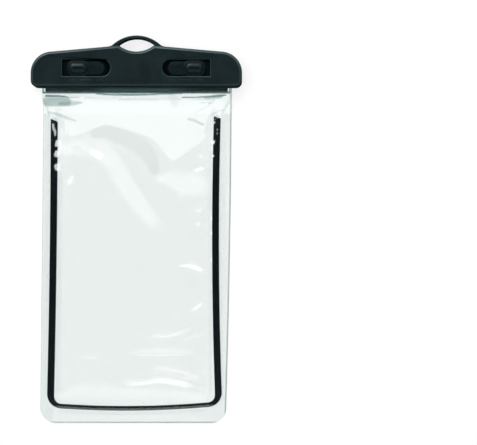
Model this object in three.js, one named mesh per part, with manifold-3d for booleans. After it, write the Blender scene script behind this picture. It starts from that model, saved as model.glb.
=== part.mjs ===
// A clear waterproof pouch for a phone, lying on its back with its clamp closed and locked.
// Two clear films are welded together round a black U-shaped strip. Their open top edges are held
// between two black bars and the two halves of a plastic clamp. A rubber seal lies between the bars,
// and a sliding lock on each side of the front half grips a headed post that stands on the back half.
// Millimetres, +Z up from the table, +Y towards the clamp, origin at the middle of the footprint.
import * as THREE from "three";
import { mergeVertices } from "three/addons/utils/BufferGeometryUtils.js";
import Module from "manifold-3d";

const wasm = await Module();
wasm.setup();

// Clearances
const seatGap = 0.25; // between pieces that are pressed, welded or seated together
const slideGap = 0.3; // round what slides

// Clamp body, with heights measured up from its lower edge
const clampWidth = 119;
const clampThickness = 13;
const topEdgeApex = 24.1; // where the two sloping top edges would meet
const topEdgeSlope = 0.088;
const shoulderRadius = 12;
const footRadius = 3.5;
const edgeRound = 1.3;
const sideWall = 1.9;
const faceWall = 2.4;
const backWall = 1.8;

// Hang loop on the top edge
const loopTop = 29.45; // outer top of the arch
const loopOuterRadius = 20;
const loopRootHalf = 17.4; // where the flared roots leave the top edges
const loopFlare = 4.4; // how far the flare runs along the arch
const loopThickness = 8.6;
const loopEdgeRound = 0.8;
const eyeHalfWidth = 10.1;
const eyeMiddle = 23.7;
const eyeRise = 3.8; // from the eye's middle to its top and to its bottom

// Sealing bars and rubber seal
const barThickness = 2.45;
const barLip = 2.5; // how far the bars stand out below the clamp
const barInside = 2.9; // how far they reach up into it
const barEdgeRound = 0.6;
const sealGrooveWidth = 2.2;
const sealGrooveDepth = 1.85;
const sealMiddle = -0.1; // the seal's middle, above the clamp's lower edge
const sealEndMargin = 2.1; // the groove's closed ends
const sealRibWidth = 0.8;
const sealRibDepth = 0.6;

// Sliding locks
const windowOuter = 41.65; // square end of the window, from the middle of the clamp
const windowInner = 14.6; // round end of the window
const windowHeight = 9.4;
const lockHeight = 10.5; // middle of the locks above the clamp's lower edge
const lockTravel = 3.2;
const tongueTip = 18;
const tongueWidth = 7.6;
const tongueRise = 1.1; // the tongue's face above the flange
const gripLength = 11.4;
const gripCentre = 32.6;
const gripStep = 0.9; // the grip's upright sides above the tongue's face
const gripRise = 2.5; // the grip's crown above the tongue's face
const flangeOverlap = 1; // how far the flange runs behind the window's edges
const flangeThickness = 1.7;
const keyPlate = 1; // the flange's floor round the keyhole
const railThickness = 1.2;
const ledgeThickness = 1;
const ledgeReach = 1.1;

// Headed lock posts
const postNeckRadius = 1;
const postHeadRadius = 1.8;
const postHeadHeight = 1.5;
const postFootRadius = 2.6;
const postFootHeight = 3.8;

// Locating pegs at the clamp's ends
const pegX = 51.5;
const pegHeight = 11; // above the clamp's lower edge
const pegRadius = 1.3;
const pegBossRadius = 2.7;
const pegReach = 1.8; // how far a peg stands into the front half

// Films
const filmThickness = 0.3;
const filmDrop = 190.6; // from the clamp's lower edge to the pouch's bottom edge
const filmHalfTop = 53.6;
const filmHalfBottom = 52.85;
const filmLean = 2.65; // how far the bottom lies to the left of the clamp's middle
const filmCornerRadius = 8.6;
const filmGrip = 2.6; // how far the films reach up between the bars and the clamp
const frontRiseStart = 34; // the front film starts to climb this far below the clamp
const pillowRise = 0.8; // how far the front film stands above the strip
const creaseInset = 4.5; // from the strip's inner edge to the fold beside it

// Black strip round the pocket
const stripWidth = 3.55;
const stripBottomWidth = 3;
const stripThickness = 1.4;
const stripTopLeft = 18; // its cut ends, below the clamp's lower edge
const stripTopRight = 16.6;
const stripOuterRadius = 8.2;
const borderTopLeft = 4.5; // clear border outside the strip, at its cut ends
const borderTopRight = 6.1;
const borderLowLeft = 4; // and above its bottom corners
const borderLowRight = 3.05;
const borderBowLeft = 0.4; // how much wider the border is halfway
const borderBowRight = 0.95;
const borderBottom = 8.7; // below the bottom corners
const borderBottomDip = 1.4; // how far the strip dips at its middle

// Heights above the table that follow from those sizes
const partingZ = clampThickness / 2;
const frontPartZ = partingZ + slideGap / 2;
const backPartZ = partingZ - slideGap / 2;
const frontBarTopZ = frontPartZ + barThickness;
const backBarFootZ = backPartZ - barThickness;
const frontSeatZ = frontBarTopZ + seatGap; // underside of the front film where it is gripped
const backSeatZ = backBarFootZ - seatGap - filmThickness; // underside of the back film there
const frontGripZ = frontSeatZ + filmThickness + seatGap;
const backGripZ = backSeatZ - seatGap;
const frontCeilingZ = clampThickness - faceWall;
const stripZ = filmThickness + seatGap;
const overStripZ = stripZ + stripThickness + seatGap;
const flangeTopZ = frontCeilingZ - slideGap;
const flangeFootZ = flangeTopZ - flangeThickness;
const tongueZ = flangeTopZ + tongueRise;
const headFootZ = flangeFootZ + keyPlate + slideGap;
const headTopZ = headFootZ + postHeadHeight;
const ledgeTopZ = flangeFootZ - slideGap;

// Places across and along the clamp
const flangeHalf = windowHeight / 2 + flangeOverlap;
const trackHalf = flangeHalf + slideGap;
const flangeInner = tongueTip - flangeOverlap;
const flangeOuter = windowOuter + lockTravel;
const gripHalf = windowHeight / 2 - slideGap;
const postX = gripCentre - lockTravel / 2;
const barHalf = filmHalfTop - filmThickness - seatGap;
const mouthHalf = filmHalfTop + 2 * seatGap;
const mouthTop = barInside + seatGap;
const lowerRailTop = lockHeight - trackHalf;
const eyeRadius = (eyeHalfWidth ** 2 + eyeRise ** 2) / (2 * eyeRise);
const eyeLowCentre = eyeMiddle - eyeRise + eyeRadius;
const eyeHighCentre = eyeMiddle + eyeRise - eyeRadius;
const beyond = 1; // how far a cutter runs past what it cuts

// A closed solid from three.js geometry, ready to be cut and joined
function solidFrom(geometry) {
  const bare = geometry.clone();
  bare.deleteAttribute("normal");
  bare.deleteAttribute("uv");
  const merged = mergeVertices(bare, 1e-4);
  const vertProperties = new Float32Array(merged.attributes.position.array);
  const triVerts = new Uint32Array(merged.index.array);
  return new wasm.Manifold(new wasm.Mesh({ numProp: 3, vertProperties, triVerts }));
}

function geometryFrom(solid) {
  const mesh = solid.getMesh();
  const geometry = new THREE.BufferGeometry();
  const position = new THREE.BufferAttribute(new Float32Array(mesh.vertProperties), 3);
  geometry.setAttribute("position", position);
  geometry.setIndex(new THREE.BufferAttribute(new Uint32Array(mesh.triVerts), 1));
  geometry.computeVertexNormals();
  return geometry;
}

function block(xRange, yRange, zRange) {
  const [x0, x1] = xRange[0] < xRange[1] ? xRange : [xRange[1], xRange[0]];
  const box = new THREE.BoxGeometry(x1 - x0, yRange[1] - yRange[0], zRange[1] - zRange[0]);
  box.translate((x0 + x1) / 2, (yRange[0] + yRange[1]) / 2, (zRange[0] + zRange[1]) / 2);
  return solidFrom(box);
}

function post(x, y, z0, z1, radius) {
  const cylinder = new THREE.CylinderGeometry(radius, radius, z1 - z0, 16);
  cylinder.rotateX(Math.PI / 2);
  cylinder.translate(x, y, (z0 + z1) / 2);
  return solidFrom(cylinder);
}

// A flat outline given thickness from z0 to z1, with its edges rounded over when round is above 0
function slab(shape, z0, z1, round = 0, curveSegments = 6) {
  const extruded = new THREE.ExtrudeGeometry(shape, {
    depth: z1 - z0 - 2 * round,
    bevelEnabled: round > 0,
    bevelThickness: round,
    bevelSize: round,
    bevelOffset: -round,
    bevelSegments: 3,
    curveSegments,
  });
  extruded.translate(0, 0, z0 + round);
  return solidFrom(extruded);
}

// A section drawn as points of Y and Z, run along X from x0 to x1
function runAlongX(section, x0, x1) {
  const shape = new THREE.Shape(section.map(([y, z]) => new THREE.Vector2(y, z)));
  const extruded = new THREE.ExtrudeGeometry(shape, { depth: x1 - x0, bevelEnabled: false });
  const drawnToRun = new THREE.Matrix4().set(0, 0, 1, x0, 1, 0, 0, 0, 0, 1, 0, 0, 0, 0, 0, 1);
  extruded.applyMatrix4(drawnToRun);
  return solidFrom(extruded);
}

// Height of the sloping top edge, for an outline drawn inwards by inset
function topEdgeAt(x, inset = 0) {
  return topEdgeApex - inset * Math.hypot(1, topEdgeSlope) - topEdgeSlope * Math.abs(x);
}

// The clamp seen from the front. Its top edge dips below the eye in a round hollow.
function clampOutline(inset = 0) {
  const half = clampWidth / 2 - inset;
  const foot = footRadius - inset;
  const shoulder = shoulderRadius - inset;
  const shoulderX = half - shoulder;
  const shoulderY = topEdgeAt(shoulderX, inset) - shoulder * Math.hypot(1, topEdgeSlope);
  const topAngle = Math.PI / 2 - Math.atan(topEdgeSlope);
  const hollow = eyeRadius + inset;
  const fall = topEdgeAt(0, inset) - eyeLowCentre;
  const a = 1 + topEdgeSlope ** 2;
  const b = -2 * topEdgeSlope * fall;
  const hollowX = (-b + Math.sqrt(b * b - 4 * a * (fall * fall - hollow * hollow))) / (2 * a);
  const hollowAngle = Math.atan2(topEdgeAt(hollowX, inset) - eyeLowCentre, hollowX);
  const shape = new THREE.Shape();
  shape.moveTo(-half + foot, inset);
  shape.lineTo(half - foot, inset);
  shape.absarc(half - foot, inset + foot, foot, -Math.PI / 2, 0, false);
  shape.absarc(shoulderX, shoulderY, shoulder, 0, topAngle, false);
  shape.absarc(0, eyeLowCentre, hollow, hollowAngle, -Math.PI - hollowAngle, true);
  shape.absarc(-shoulderX, shoulderY, shoulder, Math.PI - topAngle, Math.PI, false);
  shape.absarc(-half + foot, inset + foot, foot, Math.PI, 1.5 * Math.PI, false);
  return shape;
}

// The arch over the eye, with flared roots sunk into the clamp's top wall
function loopOutline() {
  const centreY = loopTop - loopOuterRadius;
  const flareX = loopRootHalf - loopFlare;
  const flareY = centreY + Math.sqrt(loopOuterRadius ** 2 - flareX ** 2);
  const rootY = topEdgeAt(loopRootHalf);
  const bendX = flareX + (flareY - rootY) * ((flareY - centreY) / flareX) * 0.8;
  const bendY = topEdgeAt(bendX);
  const start = Math.atan2(flareY - centreY, flareX);
  const shape = new THREE.Shape();
  shape.moveTo(-loopRootHalf, rootY - sideWall);
  shape.lineTo(loopRootHalf, rootY - sideWall);
  shape.lineTo(loopRootHalf, rootY);
  shape.quadraticCurveTo(bendX, bendY, flareX, flareY);
  shape.absarc(0, centreY, loopOuterRadius, start, Math.PI - start, false);
  shape.quadraticCurveTo(-bendX, bendY, -loopRootHalf, rootY);
  return shape;
}

// The lens-shaped hole between the arch and the hollow
function eyeOutline() {
  const tip = Math.asin(eyeHalfWidth / eyeRadius);
  const shape = new THREE.Shape();
  shape.absarc(0, eyeLowCentre, eyeRadius, -Math.PI / 2 - tip, -Math.PI / 2 + tip, false);
  shape.absarc(0, eyeHighCentre, eyeRadius, Math.PI / 2 - tip, Math.PI / 2 + tip, false);
  return shape;
}

// A bar with a round inner end and a square outer end, for the windows and the sliders
function tongueOutline(side, inner, outer, half) {
  const centre = inner + half;
  const shape = new THREE.Shape();
  shape.moveTo(side * outer, lockHeight - half);
  shape.lineTo(side * outer, lockHeight + half);
  shape.lineTo(side * centre, lockHeight + half);
  const end = side > 0 ? 1.5 * Math.PI : -0.5 * Math.PI;
  shape.absarc(side * centre, lockHeight, half, Math.PI / 2, end, side < 0);
  return shape;
}

// The clamp's whole outside, with the hang loop and its eye
function clampBody() {
  const body = slab(clampOutline(), 0, clampThickness, edgeRound);
  const loopFoot = partingZ - loopThickness / 2;
  const loop = slab(loopOutline(), loopFoot, loopFoot + loopThickness, loopEdgeRound, 8);
  return body.add(loop);
}

function eyeCutter() {
  return slab(eyeOutline(), -beyond, clampThickness + beyond, 0, 10);
}

function backCover() {
  const reach = clampWidth;
  const lower = block([-reach, reach], [-beyond, loopTop + beyond], [-beyond, backPartZ]);
  const hollow = slab(clampOutline(sideWall), backWall, backPartZ + beyond);
  const inside = slab(clampOutline(sideWall / 2), backWall / 2, backPartZ);
  const jaw = block([-reach, reach], [0, lowerRailTop], [backWall / 2, backGripZ]);
  const rib = block([-reach, reach], [mouthTop, lowerRailTop], [backWall / 2, backPartZ]);
  const mouth = block([-mouthHalf, mouthHalf], [-beyond, mouthTop], [backGripZ, backPartZ + beyond]);
  let cover = clampBody().intersect(lower).subtract(hollow);
  cover = cover.add(jaw.add(rib).intersect(inside)).subtract(mouth).subtract(eyeCutter());
  for (const side of [-1, 1]) {
    const x = side * postX;
    const footTop = backWall + postFootHeight;
    cover = cover.add(post(x, lockHeight, backWall / 2, footTop, postFootRadius));
    cover = cover.add(post(x, lockHeight, backWall, headTopZ, postNeckRadius));
    cover = cover.add(post(x, lockHeight, headFootZ, headTopZ, postHeadRadius));
    const boss = post(side * pegX, pegHeight, backWall / 2, backPartZ, pegBossRadius);
    const peg = post(side * pegX, pegHeight, backWall, backPartZ + slideGap + pegReach, pegRadius);
    cover = cover.add(boss).add(peg);
  }
  return cover;
}

function frontCover() {
  const reach = clampWidth;
  const top = clampThickness + beyond;
  const upper = block([-reach, reach], [-beyond, loopTop + beyond], [frontPartZ, top]);
  const hollow = slab(clampOutline(sideWall), frontPartZ - beyond, frontCeilingZ);
  const skin = clampThickness - faceWall / 2;
  const inside = slab(clampOutline(sideWall / 2), frontPartZ, skin);
  const jaw = block([-reach, reach], [0, lowerRailTop], [frontGripZ, skin]);
  const rib = block([-reach, reach], [mouthTop, lowerRailTop], [frontPartZ, skin]);
  const mouth = block([-mouthHalf, mouthHalf], [-beyond, mouthTop], [frontPartZ - beyond, frontGripZ]);
  let cover = clampBody().intersect(upper).subtract(hollow);
  cover = cover.add(jaw.add(rib).intersect(inside)).subtract(mouth).subtract(eyeCutter());
  for (const side of [-1, 1]) {
    const inner = side * (flangeInner - lockTravel);
    const outer = side * (flangeOuter + slideGap);
    const railTop = lockHeight + trackHalf;
    const ledgeZ = [ledgeTopZ - ledgeThickness, ledgeTopZ];
    const rail = block([inner, outer], [railTop, railTop + railThickness], [ledgeZ[0], skin]);
    const highLedge = block([inner, outer], [railTop - ledgeReach, railTop + seatGap], ledgeZ);
    const lowLedge = block([inner, outer], [lowerRailTop - seatGap, lowerRailTop + ledgeReach], ledgeZ);
    const boss = post(side * pegX, pegHeight, frontPartZ, skin, pegBossRadius);
    const socketTop = frontPartZ + pegReach + slideGap;
    const socket = post(side * pegX, pegHeight, frontPartZ - beyond, socketTop, pegRadius + slideGap);
    const windowShape = tongueOutline(side, windowInner, windowOuter, windowHeight / 2);
    const window = slab(windowShape, frontCeilingZ - seatGap, top, 0, 12);
    cover = cover.add(rail).add(highLedge).add(lowLedge).add(boss).subtract(socket).subtract(window);
  }
  return cover;
}

// One sliding lock in its locked place. The clamp opens when both slide towards the middle.
function lockSlider(side) {
  const flange = slab(tongueOutline(side, flangeInner, flangeOuter, flangeHalf), flangeFootZ, flangeTopZ);
  const tongueShape = tongueOutline(side, tongueTip, windowOuter - slideGap, tongueWidth / 2);
  const tongue = slab(tongueShape, flangeTopZ - seatGap, tongueZ);
  const crown = [];
  const crownSteps = 8;
  for (let i = 0; i <= crownSteps; i += 1) {
    const angle = (Math.PI * i) / crownSteps;
    const y = lockHeight + gripHalf * Math.cos(angle);
    crown.push([y, tongueZ + gripStep + (gripRise - gripStep) * Math.sin(angle)]);
  }
  const foot = flangeTopZ - seatGap;
  const section = [[lockHeight - gripHalf, foot], [lockHeight + gripHalf, foot], ...crown];
  const near = gripCentre - gripLength / 2;
  const far = gripCentre + gripLength / 2;
  const grip = side > 0 ? runAlongX(section, near, far) : runAlongX(section, -far, -near);
  const holeX = postX + lockTravel;
  const headGap = postHeadRadius + slideGap;
  const neckGap = postNeckRadius + slideGap;
  const plateZ = flangeFootZ + keyPlate;
  const pocketTop = headTopZ + slideGap;
  const pocketY = [lockHeight - headGap, lockHeight + headGap];
  const pocket = block([side * (postX - headGap), side * (holeX + headGap)], pocketY, [plateZ, pocketTop]);
  const slotY = [lockHeight - neckGap, lockHeight + neckGap];
  const slot = block([side * postX, side * holeX], slotY, [flangeFootZ - beyond, plateZ + seatGap]);
  const slotEnd = post(side * postX, lockHeight, flangeFootZ - beyond, plateZ + seatGap, neckGap);
  const hole = post(side * holeX, lockHeight, flangeFootZ - beyond, plateZ + seatGap, headGap);
  const body = flange.add(tongue).add(grip);
  return body.subtract(pocket).subtract(slot).subtract(slotEnd).subtract(hole);
}

// A bar across the pouch's mouth, seen from its end, with its four long edges rounded
function barSection(z0, z1) {
  const r = barEdgeRound;
  const centres = [[-barLip + r, z0 + r], [barInside - r, z0 + r], [barInside - r, z1 - r], [-barLip + r, z1 - r]];
  const section = [];
  centres.forEach(([y, z], corner) => {
    for (const share of [0, 0.5, 1]) {
      const angle = Math.PI + ((corner + share) * Math.PI) / 2;
      section.push([y + r * Math.cos(angle), z + r * Math.sin(angle)]);
    }
  });
  return section;
}

const sealHalf = barHalf - sealEndMargin;

function backBar() {
  const bar = runAlongX(barSection(backBarFootZ, backPartZ), -barHalf, barHalf);
  const half = sealGrooveWidth / 2;
  const groove = [sealMiddle - half, sealMiddle + half];
  return bar.subtract(block([-sealHalf, sealHalf], groove, [backPartZ - sealGrooveDepth, partingZ]));
}

function frontBar() {
  const bar = runAlongX(barSection(frontPartZ, frontBarTopZ), -barHalf, barHalf);
  const half = sealRibWidth / 2;
  const ribEnd = sealHalf - seatGap;
  const rib = [frontPartZ - sealRibDepth, frontPartZ + seatGap];
  return bar.add(block([-ribEnd, ribEnd], [sealMiddle - half, sealMiddle + half], rib));
}

function mouthGasket() {
  const half = sealGrooveWidth / 2 - seatGap;
  const end = sealHalf - seatGap;
  const foot = backPartZ - sealGrooveDepth + seatGap;
  const top = frontPartZ - sealRibDepth - seatGap;
  return block([-end, end], [sealMiddle - half, sealMiddle + half], [foot, top]);
}

// The films' side edges, which run straight from the clamp to the bottom edge
function edgeLeft(y) {
  const share = THREE.MathUtils.clamp(-y / filmDrop, 0, 1);
  return -filmHalfTop + share * (filmHalfTop - filmHalfBottom - filmLean);
}

function edgeRight(y) {
  const share = THREE.MathUtils.clamp(-y / filmDrop, 0, 1);
  return filmHalfTop - share * (filmHalfTop - filmHalfBottom + filmLean);
}

const cornerRow = -filmDrop + borderBottom + stripOuterRadius; // where the strip's corners begin

// Width of the clear border beside the strip
function border(y, top, low, bow, stripTop) {
  const share = THREE.MathUtils.clamp((-stripTop - y) / (-stripTop - cornerRow), 0, 1);
  return top + (low - top) * share + bow * 4 * share * (1 - share);
}

const borderLeft = (y) => border(y, borderTopLeft, borderLowLeft, borderBowLeft, stripTopLeft);
const borderRight = (y) => border(y, borderTopRight, borderLowRight, borderBowRight, stripTopRight);

// Points of a U-shaped line round the pocket: down the left, round the bottom, up the right.
// left and right are its distances from the films' side edges, bottom is its distance from their
// lower edge at the corners, and dip is how much nearer it comes to that edge halfway.
function uLine({ rows, left, right, bottom, dip = 0, radius }) {
  const low = -filmDrop + bottom;
  const bend = low + radius;
  const leftX = edgeLeft(bend) + left(bend);
  const rightX = edgeRight(bend) - right(bend);
  const line = rows.map((y) => [edgeLeft(y) + left(y), y]);
  const cornerSteps = 5;
  for (let i = 0; i <= cornerSteps; i += 1) {
    const angle = (Math.PI / 2) * (i / cornerSteps);
    line.push([leftX + radius * (1 - Math.cos(angle)), low + radius * (1 - Math.sin(angle))]);
  }
  const runSteps = 8;
  for (let i = 1; i < runSteps; i += 1) {
    const share = i / runSteps;
    const x = leftX + radius + (rightX - leftX - 2 * radius) * share;
    line.push([x, low - dip * 4 * share * (1 - share)]);
  }
  for (let i = cornerSteps; i >= 0; i -= 1) {
    const angle = (Math.PI / 2) * (i / cornerSteps);
    line.push([rightX - radius * (1 - Math.cos(angle)), low + radius * (1 - Math.sin(angle))]);
  }
  const rightLeg = rows.map((y) => [edgeRight(y) - right(y), y]);
  return [...line, ...rightLeg.reverse()];
}

function edgeStrip() {
  const rowCount = 6;
  const rows = [];
  for (let i = 1; i <= rowCount; i += 1) {
    rows.push(-stripTopLeft + ((cornerRow + stripTopLeft) * i) / (rowCount + 1));
  }
  const outer = uLine({
    rows,
    left: borderLeft,
    right: borderRight,
    bottom: borderBottom,
    dip: borderBottomDip,
    radius: stripOuterRadius,
  });
  const inner = uLine({
    rows,
    left: (y) => borderLeft(y) + stripWidth,
    right: (y) => borderRight(y) + stripWidth,
    bottom: borderBottom + stripBottomWidth,
    dip: borderBottomDip,
    radius: stripOuterRadius - stripWidth,
  });
  const slant = stripWidth / 4; // the ends are cut a little askew
  const startX = edgeLeft(-stripTopLeft) + borderLeft(-stripTopLeft);
  const finishX = edgeRight(-stripTopRight) - borderRight(-stripTopRight);
  const outline = [
    [startX + stripWidth, -stripTopLeft],
    [startX, -stripTopLeft - slant],
    ...outer,
    [finishX, -stripTopRight - slant],
    [finishX - stripWidth, -stripTopRight],
    ...inner.reverse(),
  ];
  const shape = new THREE.Shape(outline.map(([x, y]) => new THREE.Vector2(x, y)));
  return slab(shape, stripZ, stripZ + stripThickness);
}

const { lerp, smoothstep } = THREE.MathUtils;
const barFoot = -barLip - 2 * seatGap; // where the films have reached the bars
const backRiseStart = -Math.min(stripTopLeft, stripTopRight) + seatGap;
const backFilmZ = (y) => backSeatZ * smoothstep(y, backRiseStart, barFoot);
const frontFilmZ = (y) => lerp(overStripZ, frontSeatZ, smoothstep(y, -frontRiseStart, barFoot));

// A thin sheet over the points of nested U-shaped lines, the last of them closed across.
// The points are on the sheet's underside, and its thickness is laid on along the normals.
function sheet(lines) {
  const count = lines[0].length;
  const last = lines.length - 1;
  const at = (i, j) => new THREE.Vector3(...lines[i][j]);
  const under = [];
  const over = [];
  for (let i = 0; i <= last; i += 1) {
    for (let j = 0; j < count; j += 1) {
      const along = at(i, Math.min(j + 1, count - 1)).sub(at(i, Math.max(j - 1, 0)));
      const inward = i < last ? at(i + 1, j) : at(i, count - 1 - j);
      const outward = i > 0 ? at(i - 1, j) : at(i, j);
      const normal = along.cross(inward.sub(outward)).normalize();
      const point = at(i, j);
      under.push(point);
      over.push(point.clone().addScaledVector(normal, filmThickness));
    }
  }
  const faces = [];
  const quad = (a, b, c, d) => faces.push([a, b, c], [a, c, d]);
  for (let i = 0; i < last; i += 1) {
    for (let j = 0; j + 1 < count; j += 1) {
      const a = i * count + j;
      quad(a, a + count, a + count + 1, a + 1);
    }
  }
  const first = last * count;
  for (let j = 0; 2 * j + 1 < count - 1; j += 1) {
    const far = count - 1 - j;
    if (far - j > 2) quad(first + j, first + far, first + far - 1, first + j + 1);
    else faces.push([first + j, first + far, first + j + 1]);
  }
  const total = under.length;
  const index = [];
  const edges = new Map();
  for (const [a, b, c] of faces) {
    index.push(a, b, c);
    index.push(a + total, c + total, b + total);
    for (const [from, to] of [[a, b], [b, c], [c, a]]) {
      if (edges.has(`${to},${from}`)) edges.delete(`${to},${from}`);
      else edges.set(`${from},${to}`, [from, to]);
    }
  }
  for (const [from, to] of edges.values()) {
    index.push(from, to + total, to);
    index.push(from, from + total, to + total);
  }
  const positions = [...under, ...over].flatMap((p) => [p.x, p.y, p.z]);
  const geometry = new THREE.BufferGeometry();
  geometry.setAttribute("position", new THREE.BufferAttribute(new Float32Array(positions), 3));
  geometry.setIndex(index);
  return solidFrom(geometry);
}

const filmRows = [filmGrip, barFoot, -5.5, -8.5, -12, -15.5, -19, -23, -28, -34, -58, -84, -110, -136];

function backFilm() {
  const none = () => 0;
  const edge = uLine({ rows: filmRows, left: none, right: none, bottom: 0, radius: filmCornerRadius });
  return sheet([edge.map(([x, y]) => [x, y, backFilmZ(y)])]);
}

// The front film runs flat over the welded border, steps up over the strip and swells over the
// pocket. Near the clamp the border turns up into a side wall round the ends of the bars.
function frontFilm() {
  const blend = (low, high) => (y) => lerp(low(y), high, smoothstep(y, backRiseStart, barFoot));
  const weldZ = (y) => backFilmZ(y) + filmThickness + seatGap;
  const wallMiddleZ = (weldZ(0) + frontSeatZ) / 2;
  const pillowZ = (y) => frontFilmZ(y) + pillowRise * (1 - smoothstep(y, -frontRiseStart, barFoot));
  const middleZ = (y) => pillowZ(y) - pillowRise / 4;
  const outside = -2 * seatGap; // the film turns down this far outside the strip
  const weldInside = outside - 1;
  const inside = stripWidth - outside;
  const crease = inside + creaseInset;
  const belowInside = borderBottom + stripBottomWidth - outside;
  const middle = filmHalfTop / 2;
  const dip = borderBottomDip;
  const innerRadius = stripOuterRadius - stripWidth;
  const atWall = filmThickness;
  const line = (left, right, atClamp, bottom, sag, radius, height) => {
    const points = uLine({
      rows: filmRows,
      left: blend(left, atClamp),
      right: blend(right, atClamp),
      bottom,
      dip: sag,
      radius,
    });
    return points.map(([x, y]) => [x, y, height(y)]);
  };
  const beside = (inset, atClamp, bottom, sag, radius, height) =>
    line((y) => borderLeft(y) + inset, (y) => borderRight(y) + inset, atClamp, bottom, sag, radius, height);
  const none = () => 0;
  return sheet([
    line(none, none, atWall, 0, 0, filmCornerRadius, weldZ),
    beside(weldInside, atWall, borderBottom + weldInside, dip, stripOuterRadius + 1, blend(weldZ, wallMiddleZ)),
    beside(outside, atWall, borderBottom + outside, dip, stripOuterRadius, frontFilmZ),
    beside(inside, stripWidth, belowInside, dip, innerRadius, frontFilmZ),
    beside(crease, stripWidth + creaseInset, belowInside + creaseInset, 0, innerRadius, pillowZ),
    beside(middle, middle, belowInside + middle, 0, innerRadius, middleZ),
  ]);
}

// Materials
function plastic(color, roughness) {
  return new THREE.MeshStandardMaterial({ color, roughness, metalness: 0 });
}

function clearFilm() {
  const options = { color: "#e9f2f0", roughness: 0.12, metalness: 0, transparent: true, opacity: 0.25 };
  return new THREE.MeshStandardMaterial(options);
}

// The pouch, with the clamp's lower edge set so that the whole is centred on the origin
const pouch = new THREE.Group();
pouch.position.y = (filmDrop - loopTop) / 2;

function place(name, solid, material) {
  const mesh = new THREE.Mesh(geometryFrom(solid), material);
  mesh.name = name;
  pouch.add(mesh);
}

place("front_cover", frontCover(), plastic("#20292c", 0.35));
place("back_cover", backCover(), plastic("#20292c", 0.4));
place("left_lock_slider", lockSlider(-1), plastic("#182022", 0.3));
place("right_lock_slider", lockSlider(1), plastic("#182022", 0.3));
place("front_film_bar", frontBar(), plastic("#14191b", 0.25));
place("back_film_bar", backBar(), plastic("#14191b", 0.25));
place("mouth_gasket", mouthGasket(), plastic("#2b2f31", 0.8));
place("edge_strip", edgeStrip(), plastic("#12181a", 0.3));
place("front_film", frontFilm(), clearFilm());
place("back_film", backFilm(), clearFilm());

export default pouch;
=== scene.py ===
import math

import bpy
import numpy as np
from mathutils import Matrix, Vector


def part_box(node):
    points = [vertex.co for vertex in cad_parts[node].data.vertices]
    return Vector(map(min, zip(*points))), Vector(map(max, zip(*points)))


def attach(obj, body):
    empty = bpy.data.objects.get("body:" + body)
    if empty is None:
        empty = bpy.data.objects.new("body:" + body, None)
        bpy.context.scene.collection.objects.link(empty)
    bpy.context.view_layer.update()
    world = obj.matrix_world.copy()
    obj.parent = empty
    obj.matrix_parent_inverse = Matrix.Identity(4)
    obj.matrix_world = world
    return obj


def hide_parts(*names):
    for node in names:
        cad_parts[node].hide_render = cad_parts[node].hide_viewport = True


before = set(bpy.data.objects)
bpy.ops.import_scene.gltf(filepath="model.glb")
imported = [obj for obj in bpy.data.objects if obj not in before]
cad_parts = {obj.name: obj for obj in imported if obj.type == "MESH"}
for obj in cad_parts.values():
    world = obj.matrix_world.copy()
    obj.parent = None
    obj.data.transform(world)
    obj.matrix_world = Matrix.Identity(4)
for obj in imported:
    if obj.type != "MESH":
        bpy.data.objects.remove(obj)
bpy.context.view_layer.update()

# Clear phone pouch with a black clamp, lying on a white table and seen from straight above.
# Lengths in the settings are millimetres: x from the clamp's middle, y up from its lower edge.
mm = 0.001
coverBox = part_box("front_cover")
clampFoot = coverBox[0].y            # the clamp's lower edge, in metres
clampHalf = coverBox[1].x / mm
clampTop = coverBox[1].z / mm
frontPart = coverBox[0].z / mm       # where the two halves of the clamp meet
print("frame loaded")


# Studio: camera as in the photo, straight above and to the right of the pouch
studio = {
    "imageWidth": 477,               # photo pixels
    "millimetresPerPixel": 0.57,
    "cameraPlace": (57.5, 4.2, 900),
    "sensor": 36,
    "floorSize": 6000,
    "floorColour": (0.26, 0.26, 0.26),
    "floorGlow": 0.766,
    "worldGrey": 0.06,
    "roomPlace": (-350, 420, 1700),  # the broad overhead light
    "roomSize": (2400, 2400),
    "roomPower": 50,
    "keyPlace": (-420, 900, 820),    # gives the plastic its sheen
    "keySize": (620, 620),
    "keyPower": 17,
    "cardHeight": 1500,              # white cards that only show in reflections
    "cardHalfWidth": 1500,
    "lowerCard": (-14, -50, 28.3),     # degrees from straight up, where it starts and ends, and power
    "upperCard": (11, 36, 11.7),
}


def deselectAll():
    if bpy.context.object and bpy.context.object.mode != "OBJECT":
        bpy.ops.object.mode_set(mode="OBJECT")
    bpy.ops.object.select_all(action="DESELECT")


def areaLight(name, place, target, size, power):
    deselectAll()
    bpy.ops.object.light_add(type="AREA", location=[v * mm for v in place])
    lamp = bpy.context.object
    lamp.name = name
    lamp.data.shape = "RECTANGLE"
    lamp.data.size = size[0] * mm
    lamp.data.size_y = size[1] * mm
    lamp.data.energy = power
    look = Vector(target) * mm - lamp.location
    lamp.rotation_euler = look.to_track_quat("-Z", "Y").to_euler()
    lamp.visible_camera = False
    return lamp


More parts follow.
